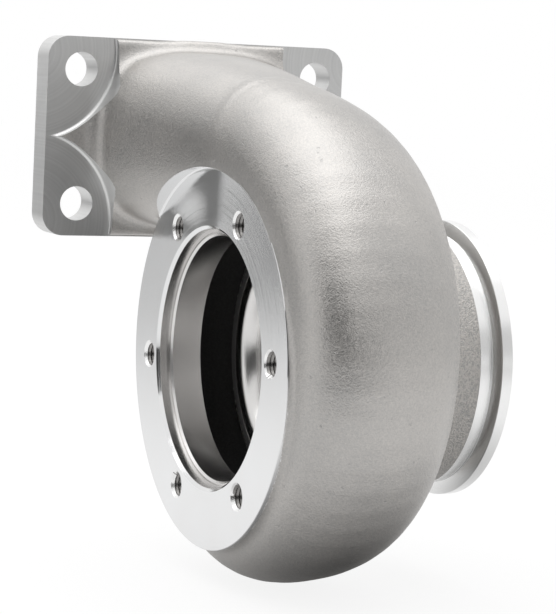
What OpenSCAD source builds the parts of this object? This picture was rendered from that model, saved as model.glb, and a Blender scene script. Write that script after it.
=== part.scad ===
// Turbine housing of a turbocharger, cast in stainless steel and machined where it fastens.
// X is the turbine axis and runs from the bearing side to the outlet.
// Y is the direction that the inlet flange faces, Z is up.
// The origin is the centre of the bearing face. All sizes are in millimetres.

/* [Bearing flange] */
// Diameter of the machined face that the bearing housing bolts to
face_d = 118; // [114:0.5:122]
// Thickness of the bearing flange
face_t = 9; // [7:0.5:10]
// Diameter of the register bore in that face
register_d = 80; // [76:0.5:84]
// Depth of the register bore
register_depth = 4; // [3:0.5:5]
// Diameter of the bore behind the register
bearing_bore_d = 76; // [74:0.5:76]
// Number of tapped holes in the face
bolt_count = 6; // [4:1:8]
// Diameter of the circle that the tapped holes lie on
bolt_circle_d = 94; // [92:0.5:98]
// Core diameter of a tapped hole
tap_core_d = 6.8; // [5:0.1:7.5]
// Turn of the hole pattern about the axis
bolt_turn = 24.4; // [0:0.1:60]
// Metal kept between the tapped holes and the gas passage
tap_wall = 4.5; // [4:0.25:6]
// Metal kept round the bearing flange where the passage runs beside it
tap_rim = 3; // [2:0.5:4]
// Thickness of the sleeve between the register's bore and the throat
sleeve_wall = 2; // [1.5:0.25:2.5]

/* [Throat and wheel] */
// Distance from the bearing face to the near lip of the throat
throat_x = 14.4; // [14:0.1:16]
// Axial width of the throat that feeds the wheel
throat_w = 12; // [9:0.5:14]
// Diameter of the wheel contour where the gas enters
wheel_in_d = 69; // [66:0.5:72]
// Diameter of the bore round the wheel's outlet
wheel_out_d = 56; // [50:0.5:60]
// Thickness of the turned metal round the wheel's inlet
seat_wall = 3; // [2:0.25:4]
// Axial length of the curved wheel contour
contour_l = 14; // [12:0.5:15]
// Length of the straight bore round the wheel's outlet
exducer_l = 12; // [10:0.5:13]

/* [Scroll] */
// Outer radius of the scroll where the duct joins it
scroll_r_start = 86; // [84:0.2:90]
// Outer radius that the scroll shrinks towards
scroll_r_end = 58; // [58:0.2:60]
// Half width of the scroll where the duct joins it
scroll_w_start = 29.5; // [28:0.1:31]
// Half width that the scroll shrinks towards
scroll_w_end = 21.5; // [19:0.1:22]
// Distance from the bearing face to the scroll's middle
scroll_x = 26.8; // [26:0.1:28]
// Shift of the scroll towards the outlet at the front
scroll_lean = 1.4; // [0:0.1:4]
// Squareness of the scroll's section, where 2 is an oval
scroll_square = 2.3; // [2:0.1:3]
// Rise of the section's crown towards the outlet where the duct joins it
slant_start = -0.2; // [-0.3:0.01:0]
// Rise of the section's crown towards the outlet where the scroll ends
slant_end = 0.05; // [0:0.01:0.3]
// Radius of the scroll's inner side
scroll_inner_r = 38; // [36:0.5:38.5]
// Thickness of the cast walls
wall = 5; // [4:0.25:6]

/* [Inlet] */
// Distance from the turbine axis plane to the gasket face
inlet_y = 76.7; // [74:0.1:90]
// Height of the duct's middle above the turbine axis
inlet_z = 64.5; // [63:0.5:66]
// Distance from the bearing face to the inlet flange's middle
inlet_x = 21.3; // [18:0.1:25]
// Width of the inlet flange along the turbine axis
inlet_w = 106; // [104:0.5:112]
// Height of the inlet flange
inlet_h = 65; // [64:0.5:70]
// Thickness of the inlet flange
inlet_t = 10.7; // [8:0.1:14]
// Radius of the inlet flange's corners
inlet_corner_r = 7; // [4:0.5:10]
// Distance between the flange holes along the turbine axis
hole_pitch_x = 84.2; // [83:0.1:85]
// Distance between the flange holes upwards
hole_pitch_z = 43.8; // [43:0.1:45]
// Shift of the hole pattern from the flange's middle
hole_shift_x = 0.6; // [-1:0.1:1]
// Diameter of the flange holes
hole_d = 11.2; // [9:0.1:12]
// Outer width of the duct at the flange
duct_w = 73.6; // [72:0.5:76]
// Outer height of the duct at the flange
duct_h = 57.6; // [56:0.5:59]
// Radius of the gas port's corners
port_corner_r = 20; // [18:0.5:22]
// Squareness of the duct's section at the flange
duct_square = 2.9; // [2.5:0.1:3.4]
// Height of the cast foot that stands on the flange's back
foot_t = 2; // [1.5:0.5:3]
// Radius of the hollow between the duct and its foot
foot_fillet_r = 4; // [2:0.5:5]
// Radius of the bolt clearance cut at each corner
relief_r = 29.4; // [27:0.1:30]
// Distance of the clearance cut's centre outside the duct's side
relief_out = 21.7; // [21:0.1:23]
// Distance of the clearance cut's centre inside the duct's top or bottom
relief_in = 1.5; // [1:0.1:2]

/* [Outlet] */
// Distance from the bearing face to the outlet face
outlet_x = 83.4; // [82:0.1:95]
// Thickness of the cast neck round that turned metal
neck_wall = 3; // [2.5:0.25:4]
// Diameter of the machined land behind the clamp rim
land_d = 80.4; // [76:0.2:80.4]
// Length of the machined land
land_l = 3.9; // [3:0.1:6]
// Diameter of the clamp rim
rim_d = 88.2; // [86:0.2:92]
// Width of the rim's edge
rim_w = 3.8; // [3:0.1:5]
// Length of the cone at the rim's back
rim_cone_l = 1.7; // [1:0.1:2.5]
// Diameter of the outlet opening
outlet_d = 73.6; // [70:0.2:75]

/* [Hidden] */
$fn = 96;
cast = "#b4b0aa";
machined = "#cfd1d3";
// Edge break on machined corners
edge = 0.5;
// Amount by which a cut runs past the face it opens
past = 1;
// Far reach of the cuts that clear everything beyond a face
far = 60;
face_r = face_d / 2;
seat_r = wheel_in_d / 2 + seat_wall;
neck_r = seat_r + neck_wall;
throat_end = throat_x + throat_w;
shroud_end = throat_end + contour_l + exducer_l;
land_x = outlet_x - rim_w - rim_cone_l - land_l;
foot_y = inlet_y - inlet_t - foot_t;
// The sleeve of the bearing flange that reaches to the throat
sleeve_r = register_d / 2 + sleeve_wall;
// Powers that set how the radius and the width shrink along the wrap
radius_power = 1.35;
width_power = 1.58;
// Wrap angle at which the scroll would close up
wrap_full = 345;
// Wrap angle at which the scroll passes under the duct
wrap_end = 306;
// Distance of the tongue's tip from the duct's end
tongue_gap_y = 13;
// Growth of the scroll wall's foot on the outlet neck
foot_flare = 2.5;
// Length of the duct that the bolt clearance reaches along
relief_reach = 20;
// Thickness of a slice that the duct is drawn through
slice = 0.01;
// Wrap that each of the scroll's three lengths covers
length_wrap = wrap_end / 3;
// Number of steps along one length of the scroll and across its outer curve
wrap_steps = 14;
curve_steps = 20;
// Angles at which the wall's two sides start on the outlet neck
foot_turn = -40;
inner_turn = -60;
// Angle at which the gas side ends at the throat's near lip
lip_turn = 215;
// Angle that the outer side stops short of the bearing flange's edge
landing_gap = 4;
// Ledge of cast metal that laps the edge of the bearing flange
lap = 0.5;
// Reach of the solid metal behind and round the bearing flange
guard_x = face_t + tap_wall;
guard_r = face_r + tap_rim;
// Slope of the passage's wall outside that metal
guard_slope = 2;
// Rise of the outlet's bore as it leaves the neck
outlet_lip = 1;

// Share of the wrap that is left at wrap angle t
function left_over(t) = max(0, 1 - t / wrap_full);
function blend(a, b, k) = a + (b - a) * k;
function scroll_r(t) = blend(scroll_r_end, scroll_r_start, pow(left_over(t), radius_power));
function scroll_w(t) = blend(scroll_w_end, scroll_w_start, pow(left_over(t), width_power));
function scroll_c(t) = scroll_x + scroll_lean * sin(t);
function scroll_m(t) = (scroll_r(t) + scroll_inner_r) / 2;
function scroll_h(t) = (scroll_r(t) - scroll_inner_r) / 2;
function scroll_slant(t) = blend(slant_end, slant_start, left_over(t));

// Cosine or sine v of a circle, moved out to a squarer outline
function bulge(v, n) = sign(v) * pow(abs(v), 2 / n);

// Point of the scroll's section at wrap t and angle u, moved in by d, as [x, radius]
function oval(t, u, d) =
    let (
        reach = (scroll_w(t) - d) * bulge(cos(u), scroll_square),
        height = (scroll_h(t) - d) * bulge(sin(u), scroll_square)
    )
        [scroll_c(t) + reach, scroll_m(t) + height + scroll_slant(t) * reach * max(0, sin(u))];

// Radius of a ring of flats that just clears a true circle of radius r
function snug(r) = r / cos(length_wrap / wrap_steps / 2);

// Angle at which the section at wrap t comes down to the bearing flange's edge
function landing(t) =
    let (rise = (snug(face_r) - scroll_m(t)) / scroll_h(t))
        180 - asin(min(1, bulge(rise, 4 / scroll_square)));

// Keeps a point on the bearing side of the crown clear of the bearing flange
function above_edge(p, u) = u < 90 ? p : [p[0], max(p[1], snug(face_r))];

// Least x of the gas passage at radius r, which keeps metal behind the tapped holes
function guard(r) = guard_x - guard_slope * max(0, r - guard_r);

// Outer side of the scroll's wall, from its foot on the outlet neck to the bearing flange
function outer_side(t) = concat(
    [[oval(t, foot_turn, 0)[0] + foot_flare, snug(neck_r)]],
    [
        for (i = [0:curve_steps])
            let (u = blend(foot_turn, landing(t) - landing_gap, i / curve_steps))
                above_edge(oval(t, u, 0), u)
    ],
    [[min(oval(t, landing(t), 0)[0], face_t - lap), snug(face_r)]],
    [[face_t, snug(face_r)], [face_t, snug(sleeve_r)]]
);

// Gas side of the wall, in the same direction, down to the throat's near lip
function inner_curve(t) = [
    for (i = [0:curve_steps + 1])
        let (p = oval(t, blend(inner_turn, lip_turn, i / (curve_steps + 1)), wall))
            [max(p[0], guard(p[1])), p[1]]
];

function inner_side(t) = concat(
    [[inner_curve(t)[0][0], snug(neck_r)]],
    inner_curve(t),
    [[throat_x, inner_curve(t)[curve_steps + 1][1]], [throat_x, snug(sleeve_r)]]
);

function backwards(list) = [for (i = [len(list) - 1:-1:0]) list[i]];

// Puts the C-shaped wall section of wrap t at wrap angle place round the turbine axis
function wall_ring(t, place) = [
    for (p = concat(outer_side(t), backwards(inner_side(t))))
        [p[0], -p[1] * sin(place), p[1] * cos(place)]
];

// Closed skin over rings of points, where each ring's second half runs back beside its first
module loft(rings_list) {
    n = len(rings_list[0]);
    m = len(rings_list);
    end = (m - 1) * n;
    points = [for (ring = rings_list) for (p = ring) p];
    sides = [
        for (j = [0:m - 2])
            for (i = [0:n - 1])
                [(j + 1) * n + i, (j + 1) * n + (i + 1) % n, j * n + (i + 1) % n, j * n + i]
    ];
    first = [for (i = [0:n / 2 - 2]) [i, i + 1, n - 2 - i, n - 1 - i]];
    last = [for (i = [0:n / 2 - 2]) [end + n - 1 - i, end + n - 2 - i, end + i + 1, end + i]];
    polyhedron(points, concat(first, sides, last));
}

// Turns an outline of [x, radius] points round the turbine axis
module turned(outline) {
    rotate([0, 90, 0])
        rotate_extrude()
            polygon([for (p = outline) [p[1], p[0]]]);
}

// Plain disc on the turbine axis from x = a to x = b
module disc(a, b, r) {
    translate([a, 0, 0])
        rotate([0, 90, 0])
            cylinder(h = b - a, r = r);
}

module bearing_flange() {
    color(machined)
        difference() {
            turned([
                [0, register_d / 2 + edge],
                [0, face_r - edge],
                [edge, face_r],
                [face_t, face_r],
                [face_t, sleeve_r],
                [throat_x, sleeve_r],
                [throat_x, bearing_bore_d / 2],
                [register_depth + edge, bearing_bore_d / 2],
                [register_depth, bearing_bore_d / 2 + edge],
                [register_depth, register_d / 2],
                [edge, register_d / 2]
            ]);
            for (i = [0:bolt_count - 1])
                rotate([i * 360 / bolt_count + bolt_turn, 0, 0])
                    translate([0, 0, bolt_circle_d / 2])
                        disc(-past, face_t + past, tap_core_d / 2);
        }
}

module wheel_shroud() {
    drop = (wheel_in_d - wheel_out_d) / 2;
    color(machined)
        turned(concat(
            [[shroud_end, seat_r], [throat_end, seat_r], [throat_end, wheel_in_d / 2]],
            [for (a = [10:10:90]) [
                throat_end + contour_l * (1 - cos(a)),
                wheel_in_d / 2 - drop * sin(a)
            ]],
            [[shroud_end, wheel_out_d / 2]]
        ));
}

module outlet_neck() {
    color(cast)
        turned([
            [throat_end, seat_r],
            [throat_end, neck_r],
            [land_x, neck_r],
            [land_x, outlet_d / 2 - outlet_lip],
            [shroud_end, wheel_out_d / 2],
            [shroud_end, seat_r]
        ]);
}

module outlet_flange() {
    cone_x = land_x + land_l;
    color(machined)
        turned([
            [land_x, land_d / 2],
            [cone_x, land_d / 2],
            [cone_x + rim_cone_l, rim_d / 2],
            [outlet_x - edge, rim_d / 2],
            [outlet_x, rim_d / 2 - edge],
            [outlet_x, outlet_d / 2 + edge],
            [outlet_x - edge, outlet_d / 2],
            [land_x + edge, outlet_d / 2],
            [land_x, outlet_d / 2 - outlet_lip]
        ]);
}

// One length of the scroll's wall, from wrap angle start on
module scroll_length(start) {
    loft([
        for (j = [0:wrap_steps])
            let (t = start + length_wrap * j / wrap_steps)
                wall_ring(t, t)
    ]);
}

module scroll_front() {
    color(cast)
        scroll_length(0);
}

module scroll_bottom() {
    color(cast)
        scroll_length(length_wrap);
}

module scroll_back() {
    color(cast)
        scroll_length(2 * length_wrap);
}

// Share of the way from the scroll to the flange's foot at distance y
function along(y) = min(1, max(0, y / foot_y));
function duct_c(y) = blend(scroll_x, inlet_x + hole_shift_x, along(y));
function duct_half_w(y) = blend(scroll_w(0), duct_w / 2, pow(along(y), 2));
function duct_half_h(y) = blend(scroll_h(0), duct_h / 2, sin(90 * along(y)));
function duct_m(y) = blend(scroll_m(0), inlet_z, sin(90 * along(y)));
function duct_slant(y) = blend(slant_start, 0, along(y));
function squareness(y) = blend(scroll_square, duct_square, along(y));

// Hollow of the cast foot at distance y, as growth of the duct's outline
function flare(y) =
    let (k = max(0, y - foot_y + foot_fillet_r))
        foot_fillet_r - sqrt(pow(foot_fillet_r, 2) - pow(min(k, foot_fillet_r), 2));

// Thin slice across the duct at distance y, with its outline moved out by d
module duct_slice(y, d) {
    n = squareness(y);
    translate([duct_c(y), y, duct_m(y)])
        rotate([90, 0, 0])
            linear_extrude(slice)
                polygon([
                    for (u = [0:7.5:352.5])
                        let (
                            reach = (duct_half_w(y) + d) * bulge(cos(u), n),
                            height = (duct_half_h(y) + d) * bulge(sin(u), n)
                        )
                            [reach, height + duct_slant(y) * reach * max(0, sin(u))]
                ]);
}

// Duct through slices at the given distances, each moved out by its own amount
module duct_body(stations, growth) {
    for (i = [0:len(stations) - 2])
        hull() {
            duct_slice(stations[i], growth[i]);
            duct_slice(stations[i + 1], growth[i + 1]);
        }
}

module duct_outside() {
    plain = [for (k = [0:0.2:0.8]) (foot_y - foot_fillet_r) * k];
    hollow = [for (a = [0:18:90]) foot_y - foot_fillet_r * (1 - sin(a))];
    stations = concat(plain, hollow);
    duct_body(stations, [for (y = stations) flare(y)]);
}

module duct_passage() {
    difference() {
        duct_body([for (k = [0:0.2:1]) (foot_y + past) * k], [for (k = [0:0.2:1]) -wall]);
        disc(-far, guard_x, guard_r);
    }
}

// Bolt clearance at the flange's four corners, from y = a to y = b
module reliefs(a, b) {
    for (sx = [-1, 1])
        for (sz = [-1, 1])
            translate([
                inlet_x + sx * (duct_w / 2 + relief_out),
                b,
                inlet_z + sz * (duct_h / 2 - relief_in)
            ])
                rotate([90, 0, 0])
                    cylinder(h = b - a, r = relief_r);
}

// Scroll wall carried on under the duct, where the tongue parts the two streams
module tail() {
    steps = 8;
    loft([
        for (j = [0:steps])
            wall_ring(wrap_end, blend(wrap_end, 360, j / steps))
    ]);
}

// Way from the duct into the throat past the tongue's tip
module tongue_gap() {
    translate([throat_x, 0, 0])
        cube([throat_w, tongue_gap_y, scroll_m(0)]);
}

module inlet_duct() {
    color(cast)
        difference() {
            union() {
                duct_outside();
                tail();
            }
            duct_passage();
            tongue_gap();
            reliefs(foot_y - relief_reach, foot_y + past);
            disc(-far, face_t, face_r);
            disc(0, throat_x, sleeve_r);
            disc(0, throat_end, bearing_bore_d / 2);
            disc(throat_end, far, neck_r);
        }
}

// Plate across the inlet from y = a to y = b, with its outline moved out by d
module inlet_plate(a, b, d) {
    r = inlet_corner_r + d;
    w = inlet_w / 2 - inlet_corner_r;
    h = inlet_h / 2 - inlet_corner_r;
    translate([inlet_x, b, inlet_z])
        rotate([90, 0, 0])
            linear_extrude(b - a)
                union() {
                    square([2 * w + 2 * r, 2 * h], center = true);
                    square([2 * w, 2 * h + 2 * r], center = true);
                    for (sx = [-1, 1])
                        for (sz = [-1, 1])
                            translate([sx * w, sz * h])
                                circle(r);
                }
}

// Gas port with round corners through the inlet plates
module inlet_port(a, b) {
    w = duct_w / 2 - wall;
    h = duct_h / 2 - wall;
    r = port_corner_r;
    translate([inlet_x + hole_shift_x, b, inlet_z])
        rotate([90, 0, 0])
            linear_extrude(b - a)
                union() {
                    square([2 * w, 2 * h - 2 * r], center = true);
                    square([2 * w - 2 * r, 2 * h], center = true);
                    for (sx = [-1, 1])
                        for (sz = [-1, 1])
                            translate([sx * (w - r), sz * (h - r)])
                                circle(r);
                }
}

module duct_foot() {
    color(cast)
        difference() {
            inlet_plate(foot_y, foot_y + foot_t, -edge);
            inlet_port(foot_y - past, foot_y + foot_t + past);
            reliefs(foot_y - past, foot_y + foot_t + past);
        }
}

module inlet_flange() {
    color(machined)
        difference() {
            inlet_plate(inlet_y - inlet_t, inlet_y, 0);
            inlet_port(inlet_y - inlet_t - past, inlet_y + past);
            for (sx = [-1, 1])
                for (sz = [-1, 1])
                    translate([
                        inlet_x + hole_shift_x + sx * hole_pitch_x / 2,
                        inlet_y + past,
                        inlet_z + sz * hole_pitch_z / 2
                    ])
                        rotate([90, 0, 0])
                            cylinder(h = inlet_t + 2 * past, r = hole_d / 2);
        }
}

bearing_flange();
wheel_shroud();
outlet_neck();
outlet_flange();
scroll_front();
scroll_bottom();
scroll_back();
inlet_duct();
duct_foot();
inlet_flange();
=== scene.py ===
import math

import bmesh
import bpy
from mathutils import Matrix, Vector
from mathutils.bvhtree import BVHTree


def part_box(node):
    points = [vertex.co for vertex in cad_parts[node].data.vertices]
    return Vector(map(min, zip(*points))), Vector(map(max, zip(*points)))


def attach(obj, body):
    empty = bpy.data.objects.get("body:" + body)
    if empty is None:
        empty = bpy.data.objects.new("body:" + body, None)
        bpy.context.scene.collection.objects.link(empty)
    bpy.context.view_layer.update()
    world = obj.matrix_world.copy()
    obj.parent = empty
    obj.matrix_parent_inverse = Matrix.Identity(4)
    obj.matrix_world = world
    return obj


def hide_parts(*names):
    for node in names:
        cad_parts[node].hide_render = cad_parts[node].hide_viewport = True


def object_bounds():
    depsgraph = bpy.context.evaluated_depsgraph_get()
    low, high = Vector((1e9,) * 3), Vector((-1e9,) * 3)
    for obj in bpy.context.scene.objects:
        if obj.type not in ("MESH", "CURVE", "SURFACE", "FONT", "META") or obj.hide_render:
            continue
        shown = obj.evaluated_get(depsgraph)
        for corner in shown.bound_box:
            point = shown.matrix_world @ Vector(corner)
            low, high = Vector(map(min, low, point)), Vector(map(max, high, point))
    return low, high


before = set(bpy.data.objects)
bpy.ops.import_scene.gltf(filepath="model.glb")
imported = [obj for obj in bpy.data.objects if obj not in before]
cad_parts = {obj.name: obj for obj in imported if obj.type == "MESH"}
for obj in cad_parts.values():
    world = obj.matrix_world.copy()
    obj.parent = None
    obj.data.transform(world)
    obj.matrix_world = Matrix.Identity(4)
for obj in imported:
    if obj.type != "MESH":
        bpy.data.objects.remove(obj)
cad_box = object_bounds()
MM = 0.001

# Camera
# It stands where the photograph was taken from, low on the bearing side and in front.
eye = Vector((-298.6, -688.1, 94.3)) * MM
back = Vector((-0.42172, -0.90092, 0.10247)).normalized()
right = Vector((0.90673, -0.41891, 0.04859))
upright = back.cross(right).normalized()
right = upright.cross(back)
camera = bpy.data.objects.new("camera", bpy.data.cameras.new("camera"))
camera.data.lens = 143.76
camera.data.sensor_width = 36
camera.data.clip_start = 0.01
camera.data.clip_end = 20
aim = Matrix((right, upright, back)).transposed().to_4x4()
camera.matrix_world = Matrix.Translation(eye) @ aim
bpy.context.scene.collection.objects.link(camera)
bpy.context.scene.camera = camera
bpy.context.scene.view_settings.view_transform = "Standard"

# Bearing ring
# The face that the bearing housing bolts to, turned bright on a lathe. Behind its register is a
# narrow shoulder with a fine groove, and six M8 holes are tapped round it.
ring_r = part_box("bearing_flange")[1].z / MM
ring_t = 9.0
ring_break = 0.15
register_r = 40.0
register_depth = 4.0
register_break = 1.0
bearing_bore_r = 38.0
bore_break = 0.6
groove_r = bearing_bore_r + 0.9
groove_w = 0.3
groove_depth = 0.3
groove_slope = 0.05
sleeve_r = 42.0
throat_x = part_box("bearing_flange")[1].x / MM
throat_break = 0.2
bolt_circle_r = 47.0
bolt_turn = 24.4
bolt_count = 6
thread_core_r = 3.4
thread_outer_r = 3.95
thread_pitch = 1.25
sink_r = 4.4
sink_depth = 1.0


class Link:
    """A node's output. Sums on it add the nodes that work them out."""

    def __init__(self, tree, socket):
        self.tree = tree
        self.socket = socket

    def node(self, kind, sockets, output=0, **settings):
        """Adds a node with its settings, and puts numbers or links in its sockets"""
        made = self.tree.nodes.new(kind)
        for name, value in settings.items():
            setattr(made, name, value)
        for name, value in sockets.items():
            if isinstance(value, Link):
                self.tree.links.new(value.socket, made.inputs[name])
            else:
                made.inputs[name].default_value = value
        return Link(self.tree, made.outputs[output])

    def sum(self, operation, first, second):
        return self.node("ShaderNodeMath", {0: first, 1: second}, operation=operation)

    def __add__(self, other):
        return self.sum("ADD", self, other)

    def __sub__(self, other):
        return self.sum("SUBTRACT", self, other)

    def __rsub__(self, other):
        return self.sum("SUBTRACT", other, self)

    def __mul__(self, other):
        return self.sum("MULTIPLY", self, other)

    __radd__ = __add__
    __rmul__ = __mul__

    def above(self, low, high):
        """Rises smoothly from 0 to 1 while the value goes from low to high"""
        return self.node(
            "ShaderNodeMapRange",
            {"Value": self, "From Min": low, "From Max": high},
            interpolation_type="SMOOTHSTEP",
        )

    def tint(self, first, second):
        """Colour between two colours, with this value as the share of the second"""
        return self.node(
            "ShaderNodeMix",
            {0: self, 6: (*first, 1), 7: (*second, 1)},
            output=2,
            data_type="RGBA",
        )


def place_sum(operation, place, other):
    """Place in space after a sum with other numbers"""
    return place.node("ShaderNodeVectorMath", {0: place, 1: other}, operation=operation)


def length(place):
    """Distance from the origin to a place"""
    return place.node("ShaderNodeVectorMath", {0: place}, output="Value", operation="LENGTH")


def start_material(name, **numbers):
    """Material, its shader with plain numbers set, and the place on the object in millimetres"""
    material = bpy.data.materials.new(name)
    material.use_nodes = True
    tree = material.node_tree
    shader = tree.nodes["Principled BSDF"]
    for socket, value in numbers.items():
        shader.inputs[socket.replace("_", " ")].default_value = value
    place = Link(tree, tree.nodes.new("ShaderNodeTexCoord").outputs["Object"])
    return material, shader, place_sum("MULTIPLY", place, (1000, 1000, 1000))


def feed(shader, **links):
    """Joins links to the shader's sockets"""
    for socket, link in links.items():
        link.tree.links.new(link.socket, shader.inputs[socket.replace("_", " ")])


def noise(place, scale, detail):
    """Noise from 0 to 1, with the scale per millimetre"""
    sockets = {"Vector": place, "Scale": scale, "Detail": detail}
    return place.node("ShaderNodeTexNoise", sockets, output="Fac")


def bump(height, strength, depth):
    """Bump from a height, where a height of 1 stands the depth in millimetres proud"""
    sockets = {"Height": height, "Strength": strength, "Distance": depth * MM}
    return height.node("ShaderNodeBump", sockets, output="Normal")


def turned_steel(name, dark, bright, roughness, depth):
    """Steel with the faint rings that the lathe leaves, duller inside the bores"""
    material, shader, place = start_material(name, Metallic=1.0)
    along = place.node("ShaderNodeSeparateXYZ", {"Vector": place}, output="X")
    radius = length(place_sum("MULTIPLY", place, (0, 1, 1)))
    outside = radius.above(register_r + 0.05, register_r + 0.15)
    face_rings = noise(radius.node("ShaderNodeCombineXYZ", {"X": radius}), 4.5, 4)
    bore_rings = noise(along.node("ShaderNodeCombineXYZ", {"X": along}), 3.5, 3)
    rings = face_rings * 0.75 + bore_rings * 0.25
    cloud = noise(place, 0.06, 3)
    wear = (rings + cloud + 0.6) * 0.5 * outside
    feed(
        shader,
        Base_Color=wear.tint(dark, bright),
        Roughness=roughness + rings * 0.05 + cloud * 0.03 + (1 - outside) * 0.17,
        Normal=bump(rings, 1.0, depth),
    )
    return material


def tapped_steel():
    """Threads and drilled ends, a little oily, with their colour kept dark as painted shade for the
    inside of the holes
    """
    material, shader, place = start_material("tapped_steel", Metallic=1.0)
    drag = noise(place, 1.5, 4)
    # Painted shade: the dark tint stands in for the shade inside the tapped holes
    feed(
        shader,
        Base_Color=drag.tint((0.16, 0.155, 0.15), (0.4, 0.39, 0.38)),
        Roughness=0.2 + drag * 0.15,
        Normal=bump(drag, 0.3, 0.05),
    )
    return material


turned = turned_steel("turned_steel", (0.70, 0.69, 0.68), (0.785, 0.79, 0.795), 0.03, 0.045)
satin = turned_steel("satin_steel", (0.78, 0.78, 0.78), (0.90, 0.90, 0.895), 0.22, 0.03)
tapped = tapped_steel()


def spun(outline, steps=192):
    """Solid of revolution about the turbine axis, from (x, radius) places in millimetres"""
    made = bmesh.new()
    corners = [made.verts.new((x * MM, 0, r * MM)) for x, r in outline]
    sides = [made.edges.new(pair) for pair in zip(corners, corners[1:] + corners[:1])]
    bmesh.ops.spin(
        made,
        geom=corners + sides,
        cent=(0, 0, 0),
        axis=(1, 0, 0),
        dvec=(0, 0, 0),
        angle=math.tau,
        steps=steps,
        use_merge=True,
    )
    bmesh.ops.remove_doubles(made, verts=made.verts, dist=0.001 * MM)
    bmesh.ops.recalc_face_normals(made, faces=made.faces)
    return made


def smooth(mesh, crease):
    """Shades a mesh smooth but for edges sharper than the crease angle"""
    mesh.shade_smooth()
    mesh.set_sharp_from_angle(angle=math.radians(crease))


def piece(name, made, material):
    """Object from a bmesh, at the origin"""
    mesh = bpy.data.meshes.new(name)
    made.to_mesh(mesh)
    made.free()
    mesh.materials.append(material)
    smooth(mesh, 30)
    result = bpy.data.objects.new(name, mesh)
    bpy.context.scene.collection.objects.link(result)
    return result


def settle(target, crease):
    """Makes a piece's modifiers part of its mesh"""
    shown = target.evaluated_get(bpy.context.evaluated_depsgraph_get())
    mesh = bpy.data.meshes.new_from_object(shown)
    target.modifiers.clear()
    target.data = mesh
    mesh.name = target.name
    smooth(mesh, crease)


def cut(target, *tools, crease=30):
    """Takes each tool's solid away. The faces that it leaves get the tool's own material."""
    finishes = []
    for tool in tools:
        step = target.modifiers.new("cut", "BOOLEAN")
        step.operation = "DIFFERENCE"
        step.solver = "MANIFOLD"
        step.object = tool
        if tool.data.materials[0] != target.data.materials[0]:
            skin = BVHTree.FromObject(tool, bpy.context.evaluated_depsgraph_get())
            finishes.append((skin, tool.data.materials[0]))
    own = list(target.data.materials)
    settle(target, crease)
    target.data.materials.clear()
    for material in own + [m for _, m in finishes]:
        if material.name not in target.data.materials:
            target.data.materials.append(material)
    for face in target.data.polygons:
        face.material_index = 0
        for skin, material in finishes:
            if skin.find_nearest(face.center, 0.03 * MM)[0]:
                face.material_index = target.data.materials.find(material.name)
                break
    for tool in tools:
        bpy.data.objects.remove(tool)


def thread_tool(core_r, outer_r, pitch, depth, steps=24):
    """Closed screw along X, from in front of the face to the given depth, in millimetres"""
    made = bmesh.new()
    half_pitches = 2 * math.ceil(depth / pitch) + 8
    points = [
        made.verts.new(((n / 2 - 3) * pitch * MM, 0, (core_r if n % 2 else outer_r) * MM))
        for n in range(half_pitches)
    ]
    sides = [made.edges.new(pair) for pair in zip(points, points[1:])]
    bmesh.ops.spin(
        made,
        geom=points + sides,
        cent=(0, 0, 0),
        axis=(1, 0, 0),
        dvec=(pitch * MM / steps, 0, 0),
        angle=math.tau,
        steps=steps,
    )
    bmesh.ops.remove_doubles(made, verts=made.verts, dist=0.005 * MM)
    for x, outwards in ((-0.5, -1), (depth, 1)):
        bmesh.ops.bisect_plane(
            made,
            geom=made.verts[:] + made.edges[:] + made.faces[:],
            plane_co=(x * MM, 0, 0),
            plane_no=(outwards, 0, 0),
            clear_outer=True,
        )
    bmesh.ops.holes_fill(made, edges=made.edges)
    bmesh.ops.recalc_face_normals(made, faces=made.faces)
    return made


def round_axis(made):
    """Repeats a mesh at the tapped holes round the turbine axis"""
    turn = Matrix.Rotation(math.radians(bolt_turn), 3, "X")
    bmesh.ops.translate(made, verts=made.verts, vec=(0, 0, bolt_circle_r * MM))
    bmesh.ops.rotate(made, verts=made.verts, matrix=turn)
    bmesh.ops.spin(
        made,
        geom=made.verts[:] + made.edges[:] + made.faces[:],
        cent=(0, 0, 0),
        axis=(1, 0, 0),
        dvec=(0, 0, 0),
        angle=math.tau * (bolt_count - 1) / bolt_count,
        steps=bolt_count - 1,
        use_duplicate=True,
    )
    return made


bearing_ring = piece(
    "bearing_ring",
    spun([
        (0, register_r + register_break),
        (0, ring_r - ring_break),
        (ring_break, ring_r),
        (ring_t, ring_r),
        (ring_t, sleeve_r),
        (throat_x, sleeve_r),
        (throat_x, bearing_bore_r + throat_break),
        (throat_x - throat_break, bearing_bore_r),
        (register_depth + bore_break, bearing_bore_r),
        (register_depth, bearing_bore_r + bore_break),
        (register_depth, groove_r),
        (register_depth + groove_depth, groove_r + groove_slope),
        (register_depth + groove_depth, groove_r + groove_w - groove_slope),
        (register_depth, groove_r + groove_w),
        (register_depth, register_r),
        (register_break, register_r),
    ]),
    turned,
)
threads = thread_tool(thread_core_r, thread_outer_r, thread_pitch, ring_t + 0.5)
sinks = bmesh.new()
bmesh.ops.create_cone(
    sinks,
    cap_ends=True,
    segments=48,
    radius1=(sink_r + sink_depth) * MM,
    radius2=(sink_r - sink_depth) * MM,
    depth=2 * sink_depth * MM,
    matrix=Matrix.Rotation(math.pi / 2, 4, "Y"),
)
cut(
    bearing_ring,
    piece("threads", round_axis(threads), tapped),
    piece("sinks", round_axis(sinks), satin),
)
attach(bearing_ring, "root")
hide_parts("bearing_flange")

# Wheel contour
# The curve that the turbine wheel's blades run along, turned in the casting just behind the throat.
contour_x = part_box("wheel_shroud")[0].x / MM
contour_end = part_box("wheel_shroud")[1].x / MM
contour_in_r = 34.5
contour_out_r = 28.0
contour_l = 14.0
seat_r = 37.4
seat_break = 0.3

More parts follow.
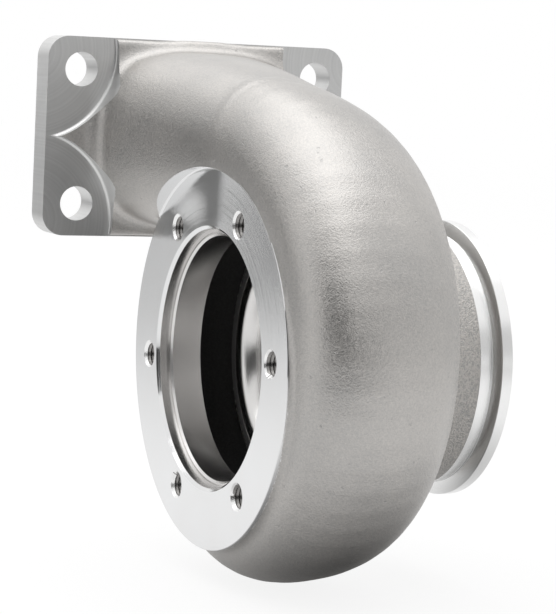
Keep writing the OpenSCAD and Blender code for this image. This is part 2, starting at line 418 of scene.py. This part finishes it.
contour_outline = [
    (contour_end, seat_r),
    (contour_x + seat_break, seat_r),
    (contour_x, seat_r - seat_break),
]
for turn in range(0, 91, 5):
    bend = math.radians(turn)
    contour_outline.append((
        contour_x + contour_l * (1 - math.cos(bend)),
        contour_in_r - (contour_in_r - contour_out_r) * math.sin(bend),
    ))
contour_outline.append((contour_end, contour_out_r))
wheel_contour = piece("wheel_contour", spun(contour_outline), turned)
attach(wheel_contour, "root")
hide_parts("wheel_shroud")

# Outlet rim
# The clamp rim at the outlet, with a conical back for the band and a turned land behind it.
outlet_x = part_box("outlet_flange")[1].x / MM
land_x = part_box("outlet_flange")[0].x / MM
rim_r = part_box("outlet_flange")[1].z / MM
land_r = 40.2
outlet_r = 36.8
neck_bore_r = outlet_r - 1
rim_x = outlet_x - 3.8
cone_x = rim_x - 1.7
rim_break = 0.4
mouth_break = 0.5

outlet_rim = piece(
    "outlet_rim",
    spun([
        (land_x, land_r - 0.3),
        (land_x + 0.2, land_r),
        (cone_x - 0.3, land_r),
        (cone_x, land_r - 0.3),
        (cone_x + 0.3, land_r - 0.1),
        (rim_x - 0.15, rim_r - 0.25),
        (rim_x + 0.1, rim_r),
        (outlet_x - rim_break, rim_r),
        (outlet_x, rim_r - rim_break),
        (outlet_x, outlet_r + mouth_break),
        (outlet_x - mouth_break, outlet_r),
        (land_x + mouth_break, outlet_r),
        (land_x, neck_bore_r),
    ]),
    satin,
)
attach(outlet_rim, "root")
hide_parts("outlet_flange")

# Inlet plate
# The rectangular flange that bolts to the manifold. Its face, its back and its edges are milled,
# and four plain holes and the gas port go through it.
plate_low, plate_high = (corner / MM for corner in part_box("inlet_flange"))
plate_mid = (plate_low + plate_high) / 2
port_x = plate_mid.x + 0.6
plate_corner_r = 7.0
hole_r = 5.6
hole_pitch = (84.2, 43.8)
port_half = (31.8, 23.8)
port_corner_r = 20.0
relief_r = 29.4
relief_centre = (plate_high - plate_low) / 2 + Vector((5.5, 0, -5.2))
quarters = [(side, level) for side in (-1, 1) for level in (-1, 1)]
past = 1.0


def milled_steel():
    """Milled steel, with the arcs that the cutter leaves round each bolt"""
    material, shader, place = start_material("milled_steel", Metallic=1.0)
    centred = place_sum("SUBTRACT", place, plate_mid)
    quarter = centred.node("ShaderNodeVectorMath", {0: centred}, operation="ABSOLUTE")
    reach = place_sum("SUBTRACT", quarter, relief_centre)
    radius = length(place_sum("MULTIPLY", reach, (1, 0, 1)))
    arcs = noise(radius.node("ShaderNodeCombineXYZ", {"X": radius}), 1.1, 4)
    grain = noise(place, 0.8, 4)
    cloud = noise(place, 0.05, 3)
    wear = cloud * 0.6 + arcs.above(0.3, 0.7) * 0.4
    feed(
        shader,
        Base_Color=wear.tint((0.575, 0.575, 0.57), (0.75, 0.75, 0.745)),
        Roughness=0.22 + arcs * 0.1 + grain * 0.12,
        Normal=bump(arcs * 0.7 + grain * 0.3, 0.3, 0.05),
    )
    return material


milled = milled_steel()


def rounded_block(low, high, radius, segments=10):
    """Block between two corners in millimetres, with its edges along Y rounded"""
    made = bmesh.new()
    size = Matrix.Diagonal((*((high - low) * MM), 1))
    place = Matrix.Translation((low + high) / 2 * MM)
    bmesh.ops.create_cube(made, size=1, matrix=place @ size)
    bmesh.ops.bevel(
        made,
        geom=[e for e in made.edges if abs(e.verts[0].co.y - e.verts[1].co.y) > 0.1 * MM],
        offset=radius * MM,
        segments=segments,
        profile=0.5,
        affect="EDGES",
        material=-1,
    )
    return made


def rod_y(x, z, low_y, high_y, radius, segments, nose=0):
    """Round rod along Y, in millimetres, with its far end's edge rounded"""
    made = bmesh.new()
    middle = Matrix.Translation(Vector((x, (low_y + high_y) / 2, z)) * MM)
    bmesh.ops.create_cone(
        made,
        cap_ends=True,
        segments=segments,
        radius1=radius * MM,
        radius2=radius * MM,
        depth=(high_y - low_y) * MM,
        matrix=middle @ Matrix.Rotation(math.pi / 2, 4, "X"),
    )
    if nose:
        end_y = (high_y - 0.01) * MM
        bmesh.ops.bevel(
            made,
            geom=[e for e in made.edges if all(v.co.y > end_y for v in e.verts)],
            offset=nose * MM,
            segments=5,
            profile=0.5,
            affect="EDGES",
            material=-1,
        )
    return made


inlet_plate = piece("inlet_plate", rounded_block(plate_low, plate_high, plate_corner_r), milled)
port_reach = Vector((port_half[0], (plate_high.y - plate_low.y) / 2 + past, port_half[1]))
port_middle = Vector((port_x, plate_mid.y, plate_mid.z))
port = rounded_block(port_middle - port_reach, port_middle + port_reach, port_corner_r)
plate_tools = [piece("port", port, milled)]
for side, level in quarters:
    x = port_x + side * hole_pitch[0] / 2
    z = plate_mid.z + level * hole_pitch[1] / 2
    hole = rod_y(x, z, plate_low.y - past, plate_high.y + past, hole_r, 64)
    plate_tools.append(piece("hole", hole, milled))
cut(inlet_plate, *plate_tools)
rounding = inlet_plate.modifiers.new("rounding", "BEVEL")
rounding.width = 0.35 * MM
rounding.segments = 2
rounding.limit_method = "ANGLE"
rounding.angle_limit = math.radians(50)
settle(inlet_plate, 20)
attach(inlet_plate, "root")
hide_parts("inlet_flange")

# Cast body
# Scroll, duct, foot and neck are one investment casting: a wax pattern gives the outside and a
# ceramic core the gas passage. The skin is blasted, and then cut where the machined faces stand.
scroll_x = 26.8
scroll_lean = 1.4
scroll_square = 2.3
scroll_inner_r = 38.0
wrap_full = 345.0
wrap_end = 306.0
wall = 5.0
neck_r = 40.5
neck_from = 16
foot_y = plate_low.y - 2
foot_inset = 0.3
duct_half = (36.8, 28.8)
duct_square = 2.9
duct_flare = 4
throat_ring_r = scroll_inner_r + 9
core_from = 13.5
overlap = 3
far = 60
clear_r = 80


def cast_steel():
    """Blasted cast steel, grainier on the neck"""
    material, shader, place = start_material("cast_steel", Metallic=1.0)
    sand = noise(place, 2.1, 3)
    grit = noise(place, 1.1, 4).above(0.3, 0.7)
    peel = noise(place, 0.5, 3)
    pits = noise(place, 0.45, 3).above(0.69, 0.75)
    cloud = noise(place, 0.035, 4).above(0.3, 0.7)
    neck = place.node("ShaderNodeSeparateXYZ", {"Vector": place}, output="X").above(47, 54)
    speck = sand.above(0.3, 0.7) * 0.6 + grit * 0.4
    shade = cloud * 0.3 + speck * (0.7 + neck * 1.7) - pits * 0.4 - neck * 0.75
    height = speck * (0.5 + neck * 1.9) + peel * 0.3 - pits * 0.6
    feed(
        shader,
        Base_Color=shade.tint((0.39, 0.384, 0.376), (0.572, 0.55, 0.526)),
        Roughness=0.3 + speck * 0.14 + neck * 0.14,
        Normal=bump(height, 0.6, 0.19),
    )
    return material


def painted_shade_steel():
    """Inside of the gas passage, painted near black as painted shade for the depth of the passage
    """
    material, shader, place = start_material("painted_shade_steel", Metallic=0.0)
    sand = noise(place, 1.4, 4)
    # Painted shade: the near-black colour stands in for the shade deep inside the gas passage
    feed(
        shader,
        Base_Color=sand.tint((0.03, 0.03, 0.03), (0.1, 0.098, 0.096)),
        Roughness=0.75 + sand * 0.2,
        Normal=bump(sand, 0.5, 0.3),
    )
    return material


cast = cast_steel()
painted_shade = painted_shade_steel()


def blend(first, last, share):
    return first + (last - first) * share


def scroll_oval(wrap, inset):
    """The scroll's section: its middle and half sizes along the axis and outwards, and its slant"""
    wrap = min(wrap, wrap_end)
    left = max(0.0, 1 - wrap / wrap_full)
    outer_r = blend(58, 86, left ** 1.35)
    half_w = blend(21.5, 29.5, left ** 1.58)
    x = scroll_x + scroll_lean * math.sin(math.radians(wrap))
    halves = (half_w - inset, (outer_r - scroll_inner_r) / 2 - inset)
    return (x, (outer_r + scroll_inner_r) / 2), halves, blend(0.05, -0.2, left)


def add_loft(made, rings):
    """Skin over rings of edges, closed at both ends"""
    for first, last in zip(rings, rings[1:]):
        bmesh.ops.bridge_loops(made, edges=first + last)
    bmesh.ops.contextual_create(made, geom=rings[0])
    bmesh.ops.contextual_create(made, geom=rings[-1])


def ring_at(made, place, halves, squareness, slant):
    """Ring of edges from a circle, made squarer and slanted, and put in place"""
    verts = bmesh.ops.create_circle(made, segments=64, radius=1)["verts"]
    for v in verts:
        rise = max(0.0, v.co.y)
        v.co.x = halves[0] * math.copysign(abs(v.co.x) ** (2 / squareness), v.co.x) * MM
        v.co.y = halves[1] * math.copysign(abs(v.co.y) ** (2 / squareness), v.co.y) * MM
        v.co.y += slant * v.co.x * rise
    upright_turn = Matrix.Rotation(math.pi / 2, 4, "X")
    bmesh.ops.transform(made, matrix=place @ upright_turn, verts=verts)
    return list({e for v in verts for e in v.link_edges})


def add_scroll(made, inset):
    """The spiral, from under the duct round to where it joins itself"""
    rings = []
    for wrap in range(0, 361, 6):
        (x, m), halves, slant = scroll_oval(wrap, inset)
        turn = Matrix.Rotation(math.radians(wrap), 4, "X")
        place = turn @ Matrix.Translation(Vector((x, 0, m)) * MM)
        rings.append(ring_at(made, place, halves, scroll_square, slant))
    add_loft(made, rings)


def add_duct(made, inset, end_y):
    """The duct, from the scroll's oval to the flange's shape, with a fillet at its root"""
    (x, m), (half_w, half_h), slant = scroll_oval(0, 0)
    rings = []
    stations = [-4, 1, 6, 12, 18, 24, 30, 36, 42, 48, 54, 58]
    stations += [foot_y + step for step in (-4, -2.6, -1.6, -0.9, -0.4, 0, 2)] + [end_y]
    for y in stations:
        share = min(1.0, max(0.0, y / foot_y))
        rise = math.sin(math.pi / 2 * share)
        near = min(1.0, max(0.0, (y - foot_y + duct_flare) / duct_flare))
        flare = 0 if inset else duct_flare * (1 - math.sqrt(1 - near ** 2))
        halves = (
            blend(half_w, duct_half[0], share ** 2) - inset + flare,
            blend(half_h, duct_half[1], rise) - inset + flare,
        )
        middle = Vector((blend(x, port_x, share), y, blend(m, plate_mid.z, rise)))
        square = blend(scroll_square, duct_square, share)
        place = Matrix.Translation(middle * MM)
        rings.append(ring_at(made, place, halves, square, blend(slant, 0, share)))
    add_loft(made, rings)


def fused(name, made, material, grain, passes):
    """One smooth closed skin over solids that overlap"""
    bmesh.ops.recalc_face_normals(made, faces=made.faces)
    body = piece(name, made, material)
    skin = body.modifiers.new("skin", "REMESH")
    skin.mode = "VOXEL"
    skin.voxel_size = grain * MM
    relax = body.modifiers.new("relax", "SMOOTH")
    relax.factor = 0.5
    relax.iterations = passes
    settle(body, 60)
    return body


def add_solid(made, solid):
    """Adds one mesh to another"""
    extra = bpy.data.meshes.new("extra")
    solid.to_mesh(extra)
    solid.free()
    made.from_mesh(extra)
    bpy.data.meshes.remove(extra)


foot_low = Vector((plate_low.x + foot_inset, foot_y, plate_low.z + foot_inset))
foot_high = plate_high - Vector((foot_inset, 0, foot_inset))
neck_end = land_x + 4
neck_outline = [
    (0, 0), (0, ring_r), (neck_from, ring_r), (neck_from, neck_r), (neck_end, neck_r), (neck_end, 0)
]
pattern = bmesh.new()
add_scroll(pattern, 0)
add_duct(pattern, 0, foot_y + overlap)
add_solid(pattern, spun(neck_outline, 96))
add_solid(pattern, rounded_block(foot_low, foot_high, plate_corner_r))
cast_body = fused("cast_body", pattern, cast, 0.9, 14)

throat_outline = [
    (throat_x, 0), (throat_x, throat_ring_r), (contour_x, throat_ring_r), (contour_x, 0)
]
core = bmesh.new()
add_scroll(core, wall)
add_duct(core, wall, plate_high.y + overlap)
add_solid(core, spun(throat_outline, 96))
gas_core = fused("gas_core", core, painted_shade, 1.2, 8)
guard_r = ring_r + overlap
guard = spun([(-far, 0), (-far, guard_r), (core_from, guard_r), (core_from, 0)], 96)
cut(gas_core, piece("guard", guard, painted_shade), crease=60)

machining = spun([
    (-far, 0),
    (-far, ring_r),
    (-0.7, ring_r),
    (-0.3, ring_r - 0.12),
    (-0.12, ring_r - 0.3),
    (0, ring_r - 0.7),
    (0, ring_r),
    (ring_t, ring_r),
    (ring_t, sleeve_r),
    (throat_x, sleeve_r),
    (throat_x, bearing_bore_r),
    (contour_x, bearing_bore_r),
    (contour_x, seat_r),
    (contour_end, seat_r),
    (contour_end, contour_out_r),
    (land_x, neck_bore_r),
    (land_x, clear_r),
    (land_x + far, clear_r),
    (land_x + far, 0),
])
flange_low = Vector((-120, plate_low.y, -40))
flange_high = Vector((160, plate_high.y + 20, 160))
flange_space = rounded_block(flange_low, flange_high, 1, 1)

# The cast skin is dressed back beside the ring, from nothing at the top to a narrow step lower down
step_from = 3
step_fade = 26
step_lift = 6
step_reach = 6
ring_step = spun([
    (-step_reach, ring_r - 1),
    (-step_reach, ring_r + 1.9),
    (-0.45, ring_r + 1.4),
    (0.1, ring_r + 1),
    (0.1, ring_r - 1),
])
bmesh.ops.bisect_plane(
    ring_step,
    geom=ring_step.verts[:] + ring_step.edges[:] + ring_step.faces[:],
    plane_co=(0, -step_from * MM, 0),
    plane_no=(0, 1, 0),
    clear_outer=True,
)
bmesh.ops.holes_fill(ring_step, edges=ring_step.edges)
for vert in ring_step.verts:
    share = max(0.0, 1 + (vert.co.y / MM + step_from) / step_fade)
    vert.co.x -= step_lift * MM * share ** 2
bmesh.ops.rotate(ring_step, verts=ring_step.verts, matrix=Matrix.Rotation(-0.007, 3, "Y"))
bmesh.ops.recalc_face_normals(ring_step, faces=ring_step.faces)

body_tools = [
    gas_core,
    piece("machining", machining, turned),
    piece("flange_space", flange_space, milled),
    piece("ring_step", ring_step, cast),
]
for side, level in quarters:
    x = plate_mid.x + side * relief_centre.x
    z = plate_mid.z + level * relief_centre.z
    cutter = rod_y(x, z, foot_y - 20, plate_low.y + 0.05, relief_r - 0.3, 128, 1.3)
    body_tools.append(piece("relief", cutter, milled))
cut(cast_body, *body_tools, crease=40)
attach(cast_body, "root")
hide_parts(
    "scroll_front", "scroll_bottom", "scroll_back", "inlet_duct", "duct_foot", "outlet_neck"
)

# Studio
# A pale floor, a white surround and one soft lamp. The floor that the metal mirrors carries a
# painted shadow round the object's foot and painted falloff far off. Only the metal sees the cards:
# pale ones in front, at the right and above, and dark ones for the camera, its tripod and the
# table's edge.
# Middle and squeeze of the painted shadow that the metal sees on the floor
painted_shadow_middle = (40, -34, 0)
painted_shadow_squeeze = (0.7, 1, 0)
floor_drop = 0.0005

floor_mesh = bmesh.new()
floor_place = Matrix.Translation((0, 0, cad_box[0].z - floor_drop))
bmesh.ops.create_grid(floor_mesh, x_segments=1, y_segments=1, size=4, matrix=floor_place)
paper, paper_shader, paper_place = start_material("paper", Roughness=0.9, Emission_Strength=1.0)


def rays(tree):
    """Camera rays, and the rays that show the surround in metal and glass"""
    path = tree.nodes.new("ShaderNodeLightPath")
    glossy = Link(tree, path.outputs["Is Glossy Ray"])
    passing = Link(tree, path.outputs["Is Transmission Ray"])
    return Link(tree, path.outputs["Is Camera Ray"]), glossy + passing


seen, mirrored = rays(paper.node_tree)
# Painted shadow and falloff: in reflections the floor's glow fades out near a spot under and right
# of the object, as a painted contact shadow, and dims far off, as painted falloff of the light
from_middle = place_sum("SUBTRACT", paper_place, painted_shadow_middle)
away = length(place_sum("MULTIPLY", from_middle, painted_shadow_squeeze))
painted_floor_light = away.above(-12, 90) * (0.76 - away.above(150, 900) * 0.34)
feed(
    paper_shader,
    Base_Color=0.8 - seen * 0.66 - mirrored * 0.5,
    Emission_Color=seen * 0.86 + mirrored * painted_floor_light,
)
floor = piece("floor", floor_mesh, paper)

world = bpy.data.worlds.new("surround")
bpy.context.scene.world = world
world.use_nodes = True
surround = world.node_tree.nodes["Background"]
seen, mirrored = rays(world.node_tree)
level = 0.4 + (seen + mirrored) * 0.6
world.node_tree.links.new(level.socket, surround.inputs["Strength"])
surround.inputs["Color"].default_value = (1, 1, 1, 1)

middle = (cad_box[0] + cad_box[1]) / 2


def facing(place):
    """Puts a card or a lamp at a place, turned to the object's middle"""
    aim = (place - middle).to_track_quat("Z", "Y").to_matrix().to_4x4()
    return Matrix.Translation(place) @ aim


def card(name, azimuth, elevation, distance, width, height, level):
    """Card in a direction from the object's middle, in degrees round from +Y and up"""
    turn, rise = math.radians(azimuth), math.radians(elevation)
    across = math.cos(rise)
    way = Vector((math.sin(turn) * across, math.cos(turn) * across, math.sin(rise)))
    size = Matrix.Diagonal((width / 2, height / 2, 1, 1))
    put = facing(middle + way * distance) @ size
    made = bmesh.new()
    bmesh.ops.create_grid(made, x_segments=1, y_segments=1, size=1, matrix=put)
    grey, shader, _ = start_material(name, Emission_Strength=1.0, Specular_IOR_Level=0.0)
    shader.inputs["Base Color"].default_value = (0, 0, 0, 1)
    shader.inputs["Emission Color"].default_value = (level, level, level, 1)
    flag = piece(name, made, grey)
    flag.visible_camera = False
    flag.visible_diffuse = False
    flag.visible_shadow = False


card("camera_card", -133, 9, 1.0, 1.15, 0.5, 0.06)
card("front_card", 155, 16, 1.0, 1.1, 0.4, 0.64)
card("skirting", 176, -1, 1.0, 0.55, 0.2, 0.08)
card("right_card", 93, 10, 1.0, 1.0, 0.45, 0.85)
card("left_card", -44, 4, 1.0, 0.6, 0.35, 0.15)
card("tripod", -157, -2, 0.6, 0.36, 0.124, 0.0)
card("softbox", -42, 57, 0.9, 0.55, 0.6, 1.8)

key = bpy.data.lights.new("key", "AREA")
key.size = 1.4
key.energy = 7.0
key_stand = bpy.data.objects.new("key", key)
key_stand.matrix_world = facing(Vector((-0.05, 0.1, 1.05)))
bpy.context.scene.collection.objects.link(key_stand)
